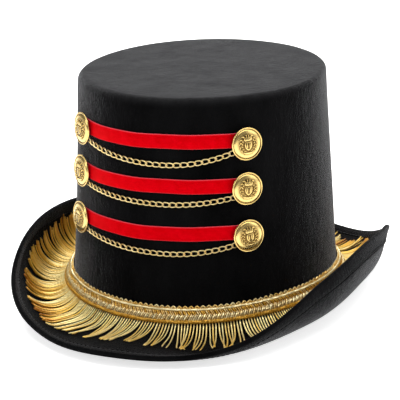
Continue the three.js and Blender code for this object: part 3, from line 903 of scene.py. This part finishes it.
emblem = {  # a made-up crest in millimetres, before it is enlarged
    "size": 1.1, "relief": 0.45, "bevel": 0.12, "fieldShare": 0.74,
    "shield": [
        (-2.4, 1.7), (-2.4, -0.6), (-2.1, -2.0), (-1.3, -3.1), (0, -3.9),
        (1.3, -3.1), (2.1, -2.0), (2.4, -0.6), (2.4, 1.7), (0, 1.4),
    ],
    "bars": (-0.9, 0.9), "barHalfWidth": 0.26, "barEnds": (0.9, -2.1),
    "scroll": [
        (-3.6, -4.3), (-2.2, -4.9), (0, -5.1), (2.2, -4.9), (3.6, -4.3),
        (3.4, -5.2), (2, -5.9), (0, -6.1), (-2, -5.9), (-3.4, -5.2),
    ],
    "coronet": [
        (-2.3, 2.3), (2.3, 2.3), (2.9, 4.7), (1.5, 3.7), (0.8, 5.3),
        (0, 3.9), (-0.8, 5.3), (-1.5, 3.7), (-2.9, 4.7),
    ],
    "jewels": ((-1.5, 2.95), (0, 2.95), (1.5, 2.95)), "jewelSize": (0.42, 0.34, 0.49),
    "pearls": ((-2.95, 4.95), (-0.8, 5.6), (0.8, 5.6), (2.95, 4.95)), "pearlSize": (0.4, 0.4, 0.5),
    "leafSteps": 6, "leafStart": -58, "leafPitch": 23, "leafSize": (1.15, 0.42, 0.66),
    "leafSpread": (4.9, 5.3), "leafPairs": ((38, 0.75), (-32, -0.7)),  # tilt, and how far off
}


def domeHeight(distance):
    share = min(distance / button["domeRadius"], 1)
    return button["domeEdge"] + button["domeRise"] * (1 - share ** 2.2)


def addEmblem(bm, verts, shade=0.15):
    # Sets a shape that lies at zero onto the dome, and darkens its foot with patina and painted shade
    toneLayer = bm.verts.layers.float["tone"]
    for vert in verts:
        vert.co.xy *= emblem["size"]
        vert[toneLayer] = max(shade, 0.9 if vert.co.z < 0.1 else 0)
        vert.co.z += domeHeight(vert.co.xy.length)


def addPlate(bm, outline, thickness, bevel):
    verts = [bm.verts.new((x, y, 0)) for x, y in outline]
    face = bm.faces.new(verts)
    if face.normal.z < 0:
        face.normal_flip()
    raised = bmesh.ops.extrude_face_region(bm, geom=[face])["geom"]
    top = [item for item in raised if isinstance(item, bmesh.types.BMVert)]
    bmesh.ops.translate(bm, verts=top, vec=(0, 0, thickness))
    nearby = {edge for vert in top for edge in vert.link_edges}
    edges = [edge for edge in nearby if all(vert in top for vert in edge.verts)]
    made = bmesh.ops.bevel(
        bm, geom=edges, offset=bevel, segments=2, profile=0.5, affect="EDGES", material=-1,
    )
    return list({*verts, *made["verts"], *(vert for vert in top if vert.is_valid)})


def addBlob(bm, centre, size, turn, segments=10):  # a rounded leaf or pearl, lying flat
    matrix = Matrix.Translation((*centre, 0.05)) @ Matrix.Rotation(math.radians(turn), 4, "Z")
    made = bmesh.ops.create_uvsphere(
        bm, u_segments=segments, v_segments=6, radius=1, matrix=matrix @ Matrix.Diagonal((*size, 1)),
    )
    return made["verts"]


def addCrest(bm):
    relief, bevel = emblem["relief"], emblem["bevel"]
    share = emblem["fieldShare"]
    addEmblem(bm, addPlate(bm, emblem["shield"], relief, bevel))
    field = [(share * x, share * y - 0.2) for x, y in emblem["shield"]]
    # The shield's field is a dark plate standing in for a sunken field: patina and painted shade
    addEmblem(bm, addPlate(bm, field, relief + 0.03, 0.02), 0.95)
    (high, low), wide = emblem["barEnds"], emblem["barHalfWidth"]
    for middle in emblem["bars"]:
        bar = [(middle - wide, high), (middle - wide, low), (middle + wide, low), (middle + wide, high)]
        addEmblem(bm, addPlate(bm, bar, relief + 0.2, 0.08))
    addEmblem(bm, addPlate(bm, emblem["scroll"], relief, bevel))
    addEmblem(bm, addPlate(bm, emblem["coronet"], relief, 0.1))
    for centre in emblem["jewels"]:
        addEmblem(bm, addBlob(bm, centre, emblem["jewelSize"], 0, 8), 0.95)
    for centre in emblem["pearls"]:
        addEmblem(bm, addBlob(bm, centre, emblem["pearlSize"], 0, 8))


def addLeaves(bm, side):  # up one side of the crest
    wide, tall = emblem["leafSpread"]
    for step in range(emblem["leafSteps"]):
        angle = emblem["leafStart"] + emblem["leafPitch"] * step
        x, y = side * wide * math.cos(math.radians(angle)), tall * math.sin(math.radians(angle)) - 0.1
        for tilt, away in emblem["leafPairs"]:
            turn = angle + 90 + tilt
            centre = (x * (1 + away / 5), y * (1 + away / 5))
            leaf = addBlob(bm, centre, emblem["leafSize"], turn if side > 0 else 180 - turn)
            addEmblem(bm, leaf)


def buildButton():
    bm = bmesh.new()
    bm.loops.layers.uv.verify()
    toneLayer = bm.verts.layers.float.new("tone")
    profile = [(0, button["profile"][0][1])] + button["profile"]
    for share in (*button["domeShares"], 0):
        distance = button["domeRadius"] * share
        profile.append((distance, domeHeight(distance)))
    line = [bm.verts.new((out, 0, up)) for out, up in profile]
    edges = [bm.edges.new(pair) for pair in zip(line, line[1:])]
    bmesh.ops.spin(
        bm, geom=edges + line, cent=(0, 0, 0), axis=(0, 0, 1), angle=2 * math.pi,
        steps=button["segments"], use_merge=True,
    )
    bmesh.ops.remove_doubles(bm, verts=bm.verts, dist=0.001)
    inner, outer = button["groove"]
    for vert in bm.verts:  # dark in the field and in the groove: patina in the hollows and painted shade
        distance = vert.co.xy.length
        field = min(1, max(0, (button["fieldRadius"] - distance) / 1.3)) if vert.co.z > 1 else 0
        vert[toneLayer] = max(0.08, 0.95 * field, 0.85 if inner < distance < outer else 0)
    addCrest(bm)
    addLeaves(bm, -1)
    addLeaves(bm, 1)
    mesh = bpy.data.meshes.new("buttonShape")
    bmesh.ops.recalc_face_normals(bm, faces=bm.faces)
    bm.to_mesh(mesh)
    bm.free()
    return mesh


buttonShape = buildButton()


def addButton(name, node, turn, height, roll, yaw):
    across, rise = button["sewn"][name]
    turn, height = turn + across * degreesPerLength, height + rise
    bm = bmesh.new()
    bm.from_mesh(buttonShape)
    normal = oval(turn, 1 / form["footHalfWidth"], 1 / form["footHalfLength"]).normalized()
    side = Vector((-normal.y, normal.x, 0))
    low = crownPoint(turn, height - trims["buttonRadius"])
    up = (crownPoint(turn, height + trims["buttonRadius"]) - low).normalized()
    face = side.cross(up)
    place = Matrix((side, up, face)).transposed().to_4x4()
    place.translation = crownPoint(turn, height) + face * trims["buttonLift"] * mm
    lean = Matrix.Rotation(math.radians(yaw), 4, "Y") @ Matrix.Rotation(math.radians(roll), 4, "Z")
    bmesh.ops.transform(bm, matrix=place @ lean @ Matrix.Scale(mm, 4), verts=bm.verts)
    addPiece(name, bm, (buttonGold,), "gold_button", node)


for index, (name, (rise, leave, hang)) in enumerate(trims["rows"].items()):
    height = rise * form["crownHeight"]
    addRibbon(name, height + trims["ribbonRaise"])
    addChain(name, height, leave, hang)
    for side, sign in (("left", -1), ("right", 1)):
        addButton(
            f"button{side.capitalize()}{name.capitalize()}", f"button_{side}_{name}",
            sign * trims["buttonTurn"], height, trims["buttonRoll"][index] * sign, button["yaw"][side],
        )
bpy.data.meshes.remove(buttonShape)


# Floor, light and camera

studio = {"floorRadius": 4, "floorDrop": 0.0004, "floorGlow": 0.7, "skyGlow": 0.23}
floorMesh = bmesh.new()
bmesh.ops.create_circle(
    floorMesh, cap_ends=True, segments=96, radius=studio["floorRadius"],
    matrix=Matrix.Translation((0, 0, -studio["floorDrop"])),
)
floorData = bpy.data.meshes.new("floor")
floorMesh.to_mesh(floorData)
floorMesh.free()
floor = bpy.data.objects.new("floor", floorData)
scene.collection.objects.link(floor)
floorData.materials.append(makeMaterial("lightTable", {
    "Base Color": (0.9, 0.9, 0.9, 1), "Roughness": 0.9, "Specular IOR Level": 0.1,
    "Emission Color": (1, 1, 1, 1), "Emission Strength": studio["floorGlow"],
})[0])

world = bpy.data.worlds.new("studio")
world.use_nodes = True
sky = world.node_tree.nodes["Background"].inputs
sky["Color"].default_value = (1, 1, 1, 1)
sky["Strength"].default_value = studio["skyGlow"]
scene.world = world

lights = {  # place, size and power of each softbox, all aimed at the crown
    "overhead": {"place": (0.1, 0.1, 1.9), "size": 2.4, "power": 56},
    "behind": {"place": (-0.7, 1.7, 1.3), "size": 1.1, "power": 30},
    "key": {"place": (-1.3, -1.5, 1.1), "size": 0.8, "power": 9},
    "right": {"place": (1.7, 0.2, 0.8), "size": 1.2, "power": 9},
}
aim = Vector((0, 0, 0.08))
for name, light in lights.items():
    lamp = bpy.data.lights.new(name, "AREA")
    lamp.shape = "SQUARE"
    lamp.size = light["size"]
    lamp.energy = light["power"]
    holder = bpy.data.objects.new(name, lamp)
    holder.location = light["place"]
    holder.rotation_mode = "QUATERNION"
    holder.rotation_quaternion = (aim - Vector(light["place"])).to_track_quat("-Z", "Y")
    scene.collection.objects.link(holder)

view = {  # fitted to the photo: degrees, metres, pixels, and the aim's height in millimetres
    "azimuth": 23.34, "elevation": 17.57, "roll": -1.5, "distance": 1.53591,
    "focal": 2139.55, "centre": (204.73, 195.45), "imageSize": 400, "aim": 60,
}
azimuth, elevation, roll = (math.radians(view[key]) for key in ("azimuth", "elevation", "roll"))
back = oval(view["azimuth"], math.cos(elevation), math.cos(elevation))
back.z = math.sin(elevation)
right = Vector((math.cos(azimuth), math.sin(azimuth), 0))
up = back.cross(right)
imageSize = view["imageSize"]
cameraData = bpy.data.cameras.new("camera")
cameraData.sensor_width = 36
cameraData.lens = view["focal"] / imageSize * cameraData.sensor_width
cameraData.shift_x = (imageSize / 2 - view["centre"][0]) / imageSize
cameraData.shift_y = (view["centre"][1] - imageSize / 2) / imageSize
cameraData.clip_start, cameraData.clip_end = 0.05, 50
camera = bpy.data.objects.new("camera", cameraData)
place = Matrix((
    right * math.cos(roll) + up * math.sin(roll), up * math.cos(roll) - right * math.sin(roll), back,
)).transposed().to_4x4()
place.translation = Vector((0, 0, (footLine + view["aim"]) * mm)) + back * view["distance"]
camera.matrix_world = place
scene.collection.objects.link(camera)
scene.camera = camera
scene.view_settings.view_transform = "Standard"
print("studio: set")
